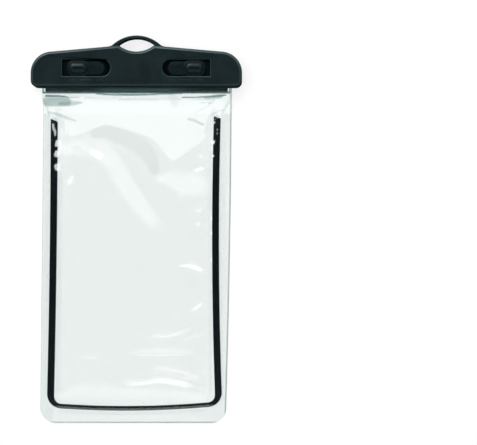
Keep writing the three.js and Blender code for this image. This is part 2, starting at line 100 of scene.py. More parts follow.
def buildStudio():
    deselectAll()
    place = Vector(studio["cameraPlace"]) * mm
    bpy.ops.object.camera_add(location=place, rotation=(0, 0, 0))
    camera = bpy.context.object
    camera.name = "photoCamera"
    seen = studio["imageWidth"] * studio["millimetresPerPixel"]
    camera.data.sensor_width = studio["sensor"]
    camera.data.lens = studio["sensor"] * studio["cameraPlace"][2] / seen
    camera.data.clip_start = 0.01
    camera.data.clip_end = 20
    bpy.context.scene.camera = camera
    room = areaLight("roomLight", studio["roomPlace"], (0, 0, 0), studio["roomSize"], studio["roomPower"])
    room.visible_glossy = False
    key = areaLight("keySoftbox", studio["keyPlace"], (0, 0, 0), studio["keySize"], studio["keyPower"])
    key.visible_diffuse = False
    height = studio["cardHeight"]
    for name in ("lowerCard", "upperCard"):
        start, end, power = studio[name]
        near = height * math.tan(math.radians(start))
        far = height * math.tan(math.radians(end))
        middle = (near + far) / 2
        size = (2 * studio["cardHalfWidth"], abs(near - far))
        card = areaLight(name, (0, middle, height), (0, middle, 0), size, power)
        card.visible_diffuse = False
    bpy.context.scene.view_settings.view_transform = "Standard"
    bpy.context.scene.cycles.transparent_max_bounces = 24     # light crosses both films twice
    print("studio ready")


# Shader maths as plain expressions: a wire is one socket's value
class Wire:
    def __init__(self, tree, socket):
        self.tree = tree
        self.socket = socket

    def combine(self, operation, first, second):
        node = self.tree.nodes.new("ShaderNodeMath")
        node.operation = operation
        for entry, value in zip(node.inputs, (first, second)):
            plug(self.tree, entry, value)
        return Wire(self.tree, node.outputs[0])

    def __add__(self, other):
        return self.combine("ADD", self, other)

    def __radd__(self, other):
        return self.combine("ADD", other, self)

    def __sub__(self, other):
        return self.combine("SUBTRACT", self, other)

    def __rsub__(self, other):
        return self.combine("SUBTRACT", other, self)

    def __mul__(self, other):
        return self.combine("MULTIPLY", self, other)

    def __rmul__(self, other):
        return self.combine("MULTIPLY", other, self)

    def __pow__(self, other):
        return self.combine("POWER", self, other)


def plug(tree, entry, value):
    if isinstance(value, Wire):
        tree.links.new(value.socket, entry)
    elif isinstance(value, (tuple, list)) and len(value) == 3 and entry.type == "RGBA":
        entry.default_value = (*value, 1)
    else:
        entry.default_value = value


class Finish:
    def __init__(self, name):
        self.material = bpy.data.materials.new(name)
        self.material.use_nodes = True
        self.tree = self.material.node_tree
        self.tree.nodes.clear()

    def node(self, kind, settings=None, inputs=None, output=0):
        node = self.tree.nodes.new("ShaderNode" + kind)
        for key, value in (settings or {}).items():
            if key == "stops":
                ramp = node.color_ramp
                while len(ramp.elements) < len(value):
                    ramp.elements.new(1)
                for element, (position, colour) in zip(ramp.elements, value):
                    element.position = position
                    element.color = (*colour, 1) if len(colour) == 3 else colour
            else:
                setattr(node, key, value)
        for key, value in (inputs or {}).items():
            plug(self.tree, node.inputs[key], value)
        return Wire(self.tree, node.outputs[output])

    def place(self):
        return self.node("TexCoord", output="Object")

    def noise(self, scale, detail=2.0, rough=0.5):
        inputs = {"Vector": self.place(), "Scale": scale, "Detail": detail, "Roughness": rough}
        return self.node("TexNoise", None, inputs)

    def done(self, shader):
        out = self.tree.nodes.new("ShaderNodeOutputMaterial")
        self.tree.links.new(shader.socket, out.inputs["Surface"])
        return self.material


paintedHighlightColour = (0.055, 0.105, 0.11)    # painted highlight: rounded edges, the upper ones most, are coloured lighter


def blackPlastic(name, colour, roughness, grain, grainScale, specular, edgeCoat, paintedHighlightShare=0):
    # moulded plastic: a fine sparked grain on its faces, smoother rounded edges that shine, a painted
    # highlight that colours the upper rounded edges lighter, and painted shade that darkens faces deep
    # inside
    finish = Finish(name)
    patches = finish.noise(90, 3)
    speckle = finish.noise(grainScale, 3, 0.6)
    tint = finish.node(
        "ValToRGB",
        {"stops": [(0.3, [c * 0.82 for c in colour]), (0.7, [c * 1.2 for c in colour])]},
        {"Fac": patches},
    )
    edge = finish.node("Attribute", {"attribute_name": "edge"}, None, "Fac")
    deep = finish.node("Attribute", {"attribute_name": "deep"}, None, "Fac")
    mixed = {"data_type": "RGBA"}
    # painted highlight: leaning faces, the upper ones most, are mixed towards a lighter colour
    tint = finish.node("Mix", mixed, {0: edge * paintedHighlightShare, 6: tint, 7: paintedHighlightColour}, 2)
    # painted shade: faces deep inside are darkened to a tenth of the colour
    tint = finish.node("Mix", mixed, {0: deep, 6: tint, 7: [c * 0.1 for c in colour]}, 2)
    bump = finish.node("Bump", None, {"Strength": grain, "Distance": 0.00008, "Height": speckle})
    shader = finish.node("BsdfPrincipled", None, {
        "Base Color": tint,
        "Roughness": roughness + 0.1 * (patches - 0.5),
        "Normal": bump,
        "Specular IOR Level": specular,
        "Specular Tint": (0.6, 0.93, 1, 1),
        "Coat Weight": edgeCoat * edge,
        "Coat Roughness": 0.4,
    })
    return finish.done(shader)


filmLook = {
    "tint": (0.977, 0.988, 0.985),   # what one face of the film lets through
    "paintedShadeTint": (0.28, 0.40, 0.39),  # painted shade: the film's darker tint where folds and the cut edge look dark
    "glintTurn": (-0.2, 0.41, 0),    # how far creased facets turn towards the clamp
    "glintShare": 0.03,
    "gloss": 0.045,
    "backGloss": 0.25,
    "glossTint": (0.81, 0.86, 0.855),
    "straightOn": 0.03,              # share reflected straight on
}


def clearFilmFinish(name, roughness):
    finish = Finish(name)
    facing = finish.node("LayerWeight", None, {"Blend": 0.5}, "Facing")
    straightOn = filmLook["straightOn"]
    reflected = straightOn + (1 - straightOn) * facing ** 5
    ripple = finish.noise(140, 2)
    bump = finish.node("Bump", None, {"Strength": 0.05, "Distance": 0.0004, "Height": ripple})
    clear = finish.node("BsdfTransparent", None, {"Color": filmLook["tint"]})
    deep = finish.node("BsdfTransparent", None, {"Color": filmLook["paintedShadeTint"]})
    # the depth attribute carries painted shade: it mixes in the darker tint
    depth = finish.node("Attribute", {"attribute_name": "depth"}, None, "Fac")
    body = finish.node("MixShader", None, {0: depth, 1: clear, 2: deep})
    # creases and bubbles: small facets that catch the light
    turned = finish.node("VectorMath", {"operation": "ADD"}, {0: bump, 1: filmLook["glintTurn"]})
    turned = finish.node("VectorMath", {"operation": "NORMALIZE"}, {0: turned})
    facet = finish.node("BsdfGlossy", None, {"Roughness": 0.35, "Normal": turned})
    glint = finish.node("Attribute", {"attribute_name": "glint"}, None, "Fac")
    body = finish.node("MixShader", None, {0: glint * filmLook["glintShare"], 1: body, 2: facet})
    inputs = {"Color": filmLook["glossTint"], "Roughness": roughness, "Normal": bump}
    gloss = finish.node("BsdfGlossy", None, inputs)
    return finish.done(finish.node("MixShader", None, {0: reflected, 1: body, 2: gloss}))


def floorFinish():
    # pale floor that the camera sees as white, with the pouch's shadow kept
    finish = Finish("paleFloor")
    rays = finish.node("LightPath", None, None, "Is Camera Ray")
    glossy = finish.node("LightPath", None, None, "Is Glossy Ray")
    through = finish.node("LightPath", None, None, "Is Transmission Ray")
    seen = finish.node("Math", {"operation": "MAXIMUM"}, {0: rays, 1: glossy})
    seen = finish.node("Math", {"operation": "MAXIMUM"}, {0: seen, 1: through})
    matt = finish.node("BsdfDiffuse", None, {"Color": studio["floorColour"]})
    glow = finish.node("Emission", None, {"Strength": seen * studio["floorGlow"]})
    return finish.done(finish.node("AddShader", None, {0: matt, 1: glow}))


def buildFloor():
    deselectAll()
    bpy.ops.mesh.primitive_plane_add(size=studio["floorSize"] * mm, location=(0, 0, -0.0001))
    floor = bpy.context.object
    floor.name = "table"
    floor.data.materials.append(floorFinish())
    world = bpy.data.worlds.new("studioWorld")
    bpy.context.scene.world = world
    world.use_nodes = True
    tree = world.node_tree
    tree.nodes.clear()
    rays = Wire(tree, tree.nodes.new("ShaderNodeLightPath").outputs["Is Camera Ray"])
    grey = studio["worldGrey"]
    background = tree.nodes.new("ShaderNodeBackground")
    background.inputs["Color"].default_value = (1, 1, 1, 1)
    plug(tree, background.inputs["Strength"], grey + (1 - grey) * rays)
    out = tree.nodes.new("ShaderNodeOutputWorld")
    tree.links.new(background.outputs[0], out.inputs["Surface"])
    print("floor and world ready")


# Modelling helpers
def arcPoints(centreX, centreY, radius, start, end, steps):
    points = []
    for i in range(steps + 1):
        angle = math.radians(start + (end - start) * i / steps)
        points.append((centreX + radius * math.cos(angle), centreY + radius * math.sin(angle)))
    return points


def plate(name, outline, start, end, roundOver=0, steps=5):
    # a circle reshaped to an outline, pulled from one height to another, its far edge rounded
    deselectAll()
    bpy.ops.mesh.primitive_circle_add(vertices=len(outline), radius=0.01, fill_type="NGON")
    piece = bpy.context.object
    piece.name = name
    for vertex, (x, y) in zip(piece.data.vertices, outline):
        vertex.co = (x * mm, y * mm + clampFoot, start * mm)
    bpy.ops.object.mode_set(mode="EDIT")
    bpy.ops.mesh.select_all(action="SELECT")
    move = {"value": (0, 0, (end - start) * mm)}
    bpy.ops.mesh.extrude_region_move(TRANSFORM_OT_translate=move)
    if roundOver:
        bpy.ops.mesh.bevel(offset=roundOver * mm, segments=steps, profile=0.5, affect="EDGES")
    bpy.ops.mesh.select_all(action="SELECT")
    bpy.ops.mesh.normals_make_consistent(inside=False)
    bpy.ops.object.mode_set(mode="OBJECT")
    return piece


def box(name, xRange, yRange, zRange):
    deselectAll()
    middle = [sum(r) / 2 for r in (xRange, yRange, zRange)]
    size = [abs(r[1] - r[0]) for r in (xRange, yRange, zRange)]
    place = (middle[0] * mm, middle[1] * mm + clampFoot, middle[2] * mm)
    bpy.ops.mesh.primitive_cube_add(size=1, location=place, scale=[s * mm for s in size])
    piece = bpy.context.object
    piece.name = name
    settle(piece)
    return piece


def pin(name, x, y, zRange, radius):
    deselectAll()
    place = (x * mm, y * mm + clampFoot, (zRange[0] + zRange[1]) / 2 * mm)
    depth = (zRange[1] - zRange[0]) * mm
    bpy.ops.mesh.primitive_cylinder_add(vertices=40, radius=radius * mm, depth=depth, location=place)
    piece = bpy.context.object
    piece.name = name
    settle(piece)
    return piece


def settle(piece):
    deselectAll()
    piece.select_set(True)
    bpy.context.view_layer.objects.active = piece
    bpy.ops.object.transform_apply(location=True, rotation=True, scale=True)


def boolean(piece, other, operation):
    deselectAll()
    bpy.context.view_layer.objects.active = piece
    modifier = piece.modifiers.new("cut", "BOOLEAN")
    modifier.operation = operation
    modifier.object = other
    modifier.solver = "EXACT"
    bpy.ops.object.modifier_apply(modifier=modifier.name)
    bpy.data.objects.remove(other)


def join(pieces, name):
    deselectAll()
    for piece in pieces:
        piece.select_set(True)
    bpy.context.view_layer.objects.active = pieces[0]
    if len(pieces) > 1:
        bpy.ops.object.join()
    pieces[0].name = name
    return pieces[0]


def softenEdges(piece, width, segments, angle):
    deselectAll()
    bpy.context.view_layer.objects.active = piece
    modifier = piece.modifiers.new("soften", "BEVEL")
    modifier.width = width * mm
    modifier.segments = segments
    modifier.limit_method = "ANGLE"
    modifier.angle_limit = math.radians(angle)
    modifier.use_clamp_overlap = False
    bpy.ops.object.modifier_apply(modifier=modifier.name)


def smooth(piece, angle):
    deselectAll()
    piece.select_set(True)
    bpy.context.view_layer.objects.active = piece
    bpy.ops.object.shade_smooth_by_angle(angle=math.radians(angle))


def markEdges(piece, paintedShadeBelow=-1):
    # how far each face leans away from flat, for the shine and the painted highlight of rounded edges,
    # most at the upper ones, which face the light, and none on walls, and which faces lie deep inside, for
    # painted shade
    faces = piece.data.polygons
    upright = np.array([abs(face.normal.z) for face in faces])
    upward = np.array([face.normal.y for face in faces]) / np.sqrt(np.maximum(1 - upright ** 2, 1e-6))
    leaning = np.clip((0.995 - upright) / 0.06, 0, 1) * np.clip((upright - 0.25) / 0.3, 0, 1)
    leaning *= 0.25 + 0.75 * np.clip(upward + 0.25, 0, 1)
    attribute = piece.data.attributes.new("edge", "FLOAT", "FACE")
    attribute.data.foreach_set("value", leaning)
    deep = [float(face.center.z < paintedShadeBelow * mm) for face in faces]
    attribute = piece.data.attributes.new("deep", "FLOAT", "FACE")
    attribute.data.foreach_set("value", deep)


def copyOfNode(node, name):
    # a CAD node's own shape, merged so that it can be shaded smoothly
    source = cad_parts[node]
    piece = bpy.data.objects.new(name, source.data.copy())
    bpy.context.scene.collection.objects.link(piece)
    deselectAll()
    piece.select_set(True)
    bpy.context.view_layer.objects.active = piece
    bpy.ops.object.mode_set(mode="EDIT")
    bpy.ops.mesh.select_all(action="SELECT")
    bpy.ops.mesh.remove_doubles(threshold=0.000002)
    bpy.ops.object.mode_set(mode="OBJECT")
    return piece


def dress(piece, material, slot, body, *nodes):
    piece.data.materials.clear()
    piece.data.materials.append(material)
    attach(piece, body)
    if nodes:
        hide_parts(*nodes)


# Clamp: two shells of one outline, with half of the hang loop on each
clamp = {
    "apex": 24.1,
    "slope": 0.088,
    "shoulder": 12,
    "foot": 3.5,
    "edgeRound": 1.9,
    "faceRim": 0.4,
    "loopTop": 29.05,
    "loopRadius": 20,
    "loopRoot": 18.9,
    "loopFlare": 5.4,
    "loopThickness": 8.6,
    "loopRound": 0.6,
    "eyeHalfWidth": 10.3,
    "eyeMiddle": 23.7,
    "eyeRise": 3.8,
    "middle": 6.5,
    "mouthHalf": 54.1,
    "mouthTop": 3.15,
    "frontGrip": 9.9,
    "backGrip": 3.1,
    "hollowTop": 10.6,
    "hollowFloor": 1.8,
    "hollowHalf": 50,
    "trackBottom": 4.5,
    "trackTop": 16.5,
    "trackInner": 13.6,
    "trackOuter": 45.15,
}
eyeRadius = (clamp["eyeHalfWidth"] ** 2 + clamp["eyeRise"] ** 2) / (2 * clamp["eyeRise"])
eyeLow = clamp["eyeMiddle"] - clamp["eyeRise"] + eyeRadius
eyeHigh = clamp["eyeMiddle"] + clamp["eyeRise"] - eyeRadius

lock = {
    "middle": 10.5,
    "windowOuter": 41.65,
    "windowInner": 14.6,
    "windowHalf": 4.7,
    "tongueTip": 18,
    "tongueHalf": 3.8,
    "flangeHalf": 5.7,
    "flangeInner": 17,
    "flangeOuter": 44.85,
    "flangeFoot": 8.6,
    "flangeTop": 10.3,
    "tongueTop": 11.4,
    "gripMiddle": 32.7,
    "gripLength": 12.4,
    "gripHalf": 4.4,
    "gripFoot": (3.8, 12.2, 0.6),    # corner, height and rounding of its foot
    "gripInset": 0.3,
    "gripCrown": (4.05, 13.9, 3.75), # the same of its crown
    "gripStretch": 0.85,             # its ends are steeper than its sides
    "postX": 31,
    "travel": 3.2,
    "headRadius": 1.8,
    "neckRadius": 1,
    "headFoot": 9.9,
    "headTop": 11.4,
    "footHeights": (1.5, 5.6),
    "footRadius": 2.6,
    "neckFoot": 1.6,
    "gap": 0.3,
    "lineX": (18.8, 27),
    "lineWidth": 0.45,
    "lineDepth": 0.4,
    "lineTop": 13,
}


def clampOutline():
    half = clampHalf
    slope = clamp["slope"]
    shoulder = clamp["shoulder"]
    shoulderX = half - shoulder
    shoulderY = clamp["apex"] - slope * shoulderX - shoulder * math.hypot(1, slope)
    topAngle = 90 - math.degrees(math.atan(slope))
    # the hollow under the loop is the eye's lower edge
    fall = clamp["apex"] - eyeLow
    a = 1 + slope ** 2
    b = -2 * slope * fall
    hollowX = (-b + math.sqrt(b * b - 4 * a * (fall ** 2 - eyeRadius ** 2))) / (2 * a)
    hollowAngle = math.degrees(math.atan2(clamp["apex"] - slope * hollowX - eyeLow, hollowX))
    foot = clamp["foot"]
    outline = arcPoints(half - foot, foot, foot, -90, 0, 10)
    outline += arcPoints(shoulderX, shoulderY, shoulder, 0, topAngle, 26)
    outline += arcPoints(0, eyeLow, eyeRadius, hollowAngle, -180 - hollowAngle, 26)
    outline += arcPoints(-shoulderX, shoulderY, shoulder, 180 - topAngle, 180, 26)
    outline += arcPoints(-half + foot, foot, foot, 180, 270, 10)
    return outline


def loopOutline():
    # up the right root, over the arch, down the left root, and back along the eye's upper edge
    centre = clamp["loopTop"] - clamp["loopRadius"]
    flareX = clamp["loopRoot"] - clamp["loopFlare"]
    flareY = centre + math.sqrt(clamp["loopRadius"] ** 2 - flareX ** 2)
    rootX = clamp["loopRoot"]
    rootY = clamp["apex"] - clamp["slope"] * rootX
    bendX = flareX + (flareY - rootY) * (flareY - centre) / flareX * 0.8
    bendY = clamp["apex"] - clamp["slope"] * bendX
    start = math.degrees(math.atan2(flareY - centre, flareX))
    root = [(clamp["eyeHalfWidth"] + 1.5, rootY - 2), (rootX, rootY - 2)]
    for i in range(10):
        t = i / 10
        x = rootX * (1 - t) ** 2 + bendX * 2 * t * (1 - t) + flareX * t * t
        y = rootY * (1 - t) ** 2 + bendY * 2 * t * (1 - t) + flareY * t * t
        root.append((x, y))
    outline = root + arcPoints(0, centre, clamp["loopRadius"], start, 180 - start, 40)
    outline += [(-x, y) for x, y in reversed(root)]
    tip = math.degrees(math.asin(clamp["eyeHalfWidth"] / eyeRadius))
    return outline + arcPoints(0, eyeHigh, eyeRadius, 90 + tip, 90 - tip, 26)


def tongueOutline(side, inner, outer, half, steps=20):
    centre = inner + half
    middle = lock["middle"]
    points = [(outer, middle - half), (outer, middle + half)]
    points += arcPoints(centre, middle, half, 90, 270, steps)
    return [(side * x, y) for x, y in points]


relief = {
    "y": 3.6,
    "root": 0.4,                     # how far the marks reach down into the face
    "rise": 0.18,
    "tip": 24.6,
    "tail": 31.6,
    "head": 1.6,
    "headHalf": 0.95,
    "shaftHalf": 0.22,
    "barStarts": (19.2, 34.6),
    "barCount": 3,
    "barPitch": 1.3,
    "barHalf": (0.25, 0.8),
}


def reliefMarks():
    # low arrows between short bars, under the windows, that point the way the locks open
    marks = []
    heights = (clampTop - relief["root"], clampTop + relief["rise"])
    y = relief["y"]
    neck = relief["tip"] + relief["head"]
    half = relief["shaftHalf"]
    wide = relief["headHalf"]
    barX, barY = relief["barHalf"]
    for side in (-1, 1):
        lower = [(neck, y - wide), (neck, y - half), (relief["tail"], y - half)]
        upper = [(x, 2 * y - py) for x, py in reversed(lower)]
        points = [(side * x, py) for x, py in [(relief["tip"], y), *lower, *upper]]
        marks.append(plate("arrow", points, *heights, 0.12, 2))
        for start in relief["barStarts"]:
            for i in range(relief["barCount"]):
                x = side * (start + i * relief["barPitch"])
                low = [(x - barX, y - barY), (x + barX, y - barY)]
                high = [(x + barX, y + barY), (x - barX, y + barY)]
                marks.append(plate("bar", low + high, *heights, 0.14, 2))
    return marks


def buildFrontCover(material):
    cover = plate("frontShell", clampOutline(), frontPart, clampTop, clamp["edgeRound"], 7)
    mouth = clamp["mouthHalf"]
    cut = box("mouth", (-mouth, mouth), (-1, clamp["mouthTop"]), (frontPart - 1, clamp["frontGrip"]))
    boolean(cover, cut, "DIFFERENCE")
    for side in (-1, 1):
        xs = sorted((side * clamp["trackInner"], side * clamp["trackOuter"]))
        ys = (clamp["trackBottom"], clamp["trackTop"])
        track = box("track", xs, ys, (frontPart - 1, clamp["hollowTop"]))
        boolean(cover, track, "DIFFERENCE")
        window = tongueOutline(side, lock["windowInner"], lock["windowOuter"], lock["windowHalf"])
        boolean(cover, plate("window", window, clamp["hollowTop"] - 0.3, clampTop + 1), "DIFFERENCE")
    softenEdges(cover, clamp["faceRim"], 3, 50)
    loopHeight = clamp["middle"] + clamp["loopThickness"] / 2
    loop = plate("loop", loopOutline(), frontPart, loopHeight, clamp["loopRound"], 5)
    boolean(cover, loop, "UNION")
    cover = join([cover, *reliefMarks()], "frontShell")
    smooth(cover, 35)
    markEdges(cover)
    dress(cover, material, "clamp_plastic", "pouch", "front_cover")
    print("front cover built")


def buildBackCover(material):
    top = 2 * clamp["middle"] - frontPart
    cover = plate("backShell", clampOutline(), top, 0, clamp["edgeRound"], 7)
    mouth = clamp["mouthHalf"]
    cut = box("mouth", (-mouth, mouth), (-1, clamp["mouthTop"]), (clamp["backGrip"], top + 1))
    boolean(cover, cut, "DIFFERENCE")
    half = clamp["hollowHalf"]
    ys = (clamp["trackBottom"], clamp["trackTop"])
    hollow = box("hollow", (-half, half), ys, (clamp["hollowFloor"], top + 1))
    boolean(cover, hollow, "DIFFERENCE")
    post = (
        ("foot", lock["footHeights"], lock["footRadius"]),
        ("neck", (lock["neckFoot"], lock["headTop"] - 0.1), lock["neckRadius"]),
        ("head", (lock["headFoot"], lock["headTop"]), lock["headRadius"]),
    )
    for side in (-1, 1):
        for name, heights, radius in post:
            part = pin(name, side * lock["postX"], lock["middle"], heights, radius)
            boolean(cover, part, "UNION")
    softenEdges(cover, clamp["faceRim"], 2, 50)
    loopFoot = clamp["middle"] - clamp["loopThickness"] / 2
    loop = plate("loop", loopOutline(), top, loopFoot, clamp["loopRound"], 5)
    boolean(cover, loop, "UNION")
    smooth(cover, 35)
    markEdges(cover)
    dress(cover, material, "clamp_plastic", "pouch", "back_cover")
    print("back cover built")


def buildSlider(side, name, body, node, material):
    flange = tongueOutline(side, lock["flangeInner"], lock["flangeOuter"], lock["flangeHalf"])
    slider = plate(name, flange, lock["flangeFoot"], lock["flangeTop"])
    tongue = tongueOutline(side, lock["tongueTip"], lock["gripMiddle"] + 4, lock["tongueHalf"])
    boolean(slider, plate("tongue", tongue, lock["flangeTop"] - 0.2, lock["tongueTop"], 0.4, 3), "UNION")
    # thumb grip: a low foot and a pebble with a rounded crown on it
    middle = lock["middle"]
    parts = ((0, lock["gripFoot"], 1), (lock["gripInset"], lock["gripCrown"], lock["gripStretch"]))
    for inset, (corner, top, rounding), stretch in parts:
        centre = side * lock["gripMiddle"]
        reach = (lock["gripLength"] / 2 - inset) / stretch - corner
        low = centre - reach
        high = centre + reach
        reach = lock["gripHalf"] - inset - corner
        outline = arcPoints(high, middle + reach, corner, 0, 90, 8)
        outline += arcPoints(low, middle + reach, corner, 90, 180, 8)
        outline += arcPoints(low, middle - reach, corner, 180, 270, 8)
        outline += arcPoints(high, middle - reach, corner, 270, 360, 8)
        grip = plate("grip", outline, lock["flangeTop"] - 0.2, top, rounding, 10)
        for vertex in grip.data.vertices:
            vertex.co.x = centre * mm + (vertex.co.x - centre * mm) * stretch
        boolean(slider, grip, "UNION")
    # keyhole under the grip, round the clamp's headed post
    gap = lock["gap"]
    wide = lock["headRadius"] + gap
    narrow = lock["neckRadius"] + gap
    x0 = side * lock["postX"]
    x1 = side * (lock["postX"] + lock["travel"])
    plateTop = lock["headFoot"] - gap
    lows = sorted((x0, x1))
    through = (lock["flangeFoot"] - 1, plateTop + 0.2)
    pocketX = (lows[0] - wide, lows[1] + wide)
    pocketY = (middle - wide, middle + wide)
    cuts = [
        box("pocket", pocketX, pocketY, (plateTop, lock["headTop"] + gap)),
        box("slot", lows, (middle - narrow, middle + narrow), through),
        pin("slotEnd", x0, middle, through, narrow),
        pin("hole", x1, middle, through, wide),
    ]
    # parting line along the tongue
    lineX = sorted(side * x for x in lock["lineX"])
    lineY = (middle, middle + lock["lineWidth"])
    lineZ = (lock["tongueTop"] - lock["lineDepth"], lock["lineTop"])
    cuts.append(box("line", lineX, lineY, lineZ))
    for cut in cuts:
        boolean(slider, cut, "DIFFERENCE")
    smooth(slider, 35)
    # the flange under the tongue gets painted shade
    markEdges(slider, lock["flangeTop"] + 0.1)
    dress(slider, material, "slider_plastic", body, node)
    print(name, "built")


bars = {
    "endFrom": 50,                   # the ends past this x are pulled in
    "endCut": 1.6,
}


def buildBars(material, rubber):
    for node, name in (("front_film_bar", "frontBar"), ("back_film_bar", "backBar")):
        bar = copyOfNode(node, name)
        for vertex in bar.data.vertices:
            if abs(vertex.co.x) > bars["endFrom"] * mm:
                vertex.co.x -= math.copysign(bars["endCut"] * mm, vertex.co.x)
        smooth(bar, 50)
        dress(bar, material, "bar_plastic", "pouch", node)
    seal = copyOfNode("mouth_gasket", "mouthSeal")
    softenEdges(seal, 0.2, 2, 30)
    smooth(seal, 35)
    dress(seal, rubber, "seal_rubber", "pouch", "mouth_gasket")
    print("bars and seal built")


# Films and strip: places as insets from the films' edges, heights above the table
film = {
    "halfTop": 53.6,
    "halfBottom": 52.85,
    "lean": 2.65,
    "drop": 190.6,
    "grip": 2.6,
    "barFoot": -3,
    "cornerLeft": 9,
    "cornerRight": 8,
    "thickness": 0.25,
    "columns": 166,
    "rows": 290,
    "acrossPlan": [(0, 0), (0.25, 0.125), (0.75, 0.875), (1, 1)],
    "downPlan": [(0, 0), (0.2, 0.094), (0.46, 0.26), (0.84, 0.93), (0.93, 0.972), (1, 1)],
    "weldHeight": 0.56,
    "overStrip": 2.22,
    "seatHeight": 9.37,
    "pillow": 0.7,
    "bulge": 0.65,
    "shoulder": 0.26,
    "shoulderWidth": 1.3,
    "backRise": -16.2,
    "backSeat": 3.35,
    "sideRibs": 0.03,                # fine ribs of the weld at the sides and at the bottom
    "bottomRibs": 0.006,
    "waves": 0.03,
    "markSoftness": (0.65, 1.3),     # where a mark fades, in its half widths
}
strip = {
    "width": 3.95,
    "bottomWidth": 2.6,
    "foot": 0.56,
    "top": 1.92,
    "topLeft": 17.2,
    "topRight": 15.9,
    "radius": 8.2,
    "left": (4.4, 3.9, 0.4),         # clear border at the top, at the bottom, and its bow
    "right": (6.1, 2.7, 1.75),
    "bottom": 8.75,
    "dip": 1.6,
    "tilt": 0.4,
}
cornerRow = -film["drop"] + strip["bottom"] + strip["radius"]


def edgeShare(y):
    return np.clip(-y / film["drop"], 0, 1)


def edgeLeft(y):
    return -film["halfTop"] + edgeShare(y) * (film["halfTop"] - film["halfBottom"] - film["lean"])


def edgeRight(y):
    share = edgeShare(y)
    bulge = film["bulge"] * 4 * share * (1 - share)
    return film["halfTop"] - share * (film["halfTop"] - film["halfBottom"] + film["lean"]) + bulge


def border(y, sizes, top):
    share = np.clip((-top - y) / (-top - cornerRow), 0, 1)
    return sizes[0] + (sizes[1] - sizes[0]) * share + sizes[2] * 4 * share * (1 - share)


def stripLeft(y):
    return edgeLeft(y) + border(y, strip["left"], strip["topLeft"])


def stripRight(y):
    return edgeRight(y) - border(y, strip["right"], strip["topRight"])


def bottomSag(share):
    return strip["tilt"] * (1 - 2 * share) + strip["dip"] * 4 * share * (1 - share)


def stripBottom(x):
    left = stripLeft(cornerRow) + strip["radius"]
    right = stripRight(cornerRow) - strip["radius"]
    share = np.clip((x - left) / (right - left), 0, 1)
    return -film["drop"] + strip["bottom"] - bottomSag(share)


def step(value, low, high):
    t = np.clip((value - low) / (high - low), 0, 1)
    return t * t * (3 - 2 * t)


def insideStrip(x, y):
    # distance in from the strip's outer edge, negative outside it, with round corners
    left = x - stripLeft(y)
    right = stripRight(y) - x
    below = y - stripBottom(x)
    side = np.minimum(left, right)
    radius = strip["radius"]
    corner = radius - np.hypot(np.maximum(radius - side, 0), np.maximum(radius - below, 0))
    return np.where((side < radius) & (below < radius), corner, np.minimum(side, below))


# Folds in the front film: each a crest line with a long flank on one side and a short one behind.
# Points run so that the long flank lies on the right-hand side.
folds = [
    # streaks at the right
    {"points": [(36.7, -104), (31, -102.5), (25.3, -101)], "flank": 1.6, "back": 1.2, "lift": 0.16},
    {"points": [(36.7, -122.7), (33, -125), (30, -126.6)], "flank": 2.2, "back": 1.5, "lift": 0.2},
    {"points": [(28.7, -138), (18, -139.4), (8.8, -141)], "flank": 2, "back": 2, "lift": 0.14},
    {"points": [(35.5, -140.3), (26.4, -143.1)], "flank": 1.6, "back": 1.2, "lift": 0.14},
    {"points": [(33.2, -149.5), (12, -150.4), (-4.2, -149.9)], "flank": 3, "back": 3, "lift": 0.12},
    {"points": [(35.5, -164.7), (22, -162.5), (7, -160.2)], "flank": 2.5, "back": 2.5, "lift": 0.1},
    {"points": [(31.5, -169.3), (12.7, -165.3), (-6.5, -167.6)], "flank": 2.2, "back": 2, "lift": 0.14},
    {"points": [(-23.6, -152.2), (-32.6, -152.2)], "flank": 1.2, "back": 1, "lift": 0.06},
]


def foldHeights(x, y):
    height = np.zeros_like(x)
    for fold in folds:
        best = np.full_like(x, 1e9)
        signed = np.zeros_like(x)
        along = np.zeros_like(x)
        points = fold["points"]
        lengths = [math.dist(a, b) for a, b in zip(points, points[1:])]
        total = sum(lengths)
        walked = 0
        for (x0, y0), (x1, y1), length in zip(points, points[1:], lengths):
            dx = (x1 - x0) / length
            dy = (y1 - y0) / length
            t = (x - x0) * dx + (y - y0) * dy
            held = np.clip(t, 0, length)
            distance = np.hypot(x - x0 - held * dx, y - y0 - held * dy)
            side = (x - x0) * dy - (y - y0) * dx
            nearer = distance < best
            best = np.where(nearer, distance, best)
            signed = np.where(nearer, np.sign(side) * distance, signed)
            along = np.where(nearer, (walked + held) / total, along)
            walked += length
        reach = np.where(signed > 0, fold["flank"], fold["back"])
        fall = 1 - step(best / reach, 0, 1)
        ends = step(along, 0, 0.12) * step(1 - along, 0, 0.12)
        height += fold["lift"] * fall * (0.25 + 0.75 * ends)
    return height


# Where the front film reaches the flat, as x and the distance below the clamp
slopeFoot = [
    (-54, 17.5), (-45, 17.5), (-41, 28), (-31.5, 26.2), (-25, 23), (-19, 20.2), (-8, 23.5), (4.3, 27),
    (10.5, 30), (15.6, 38.5), (19.6, 43.5), (23, 41), (30, 35), (39.5, 29.5), (42.5, 17), (54, 17),
]
slopeShifts = (-3, -1.5, 0, 1.5, 3)    # smooths its corners
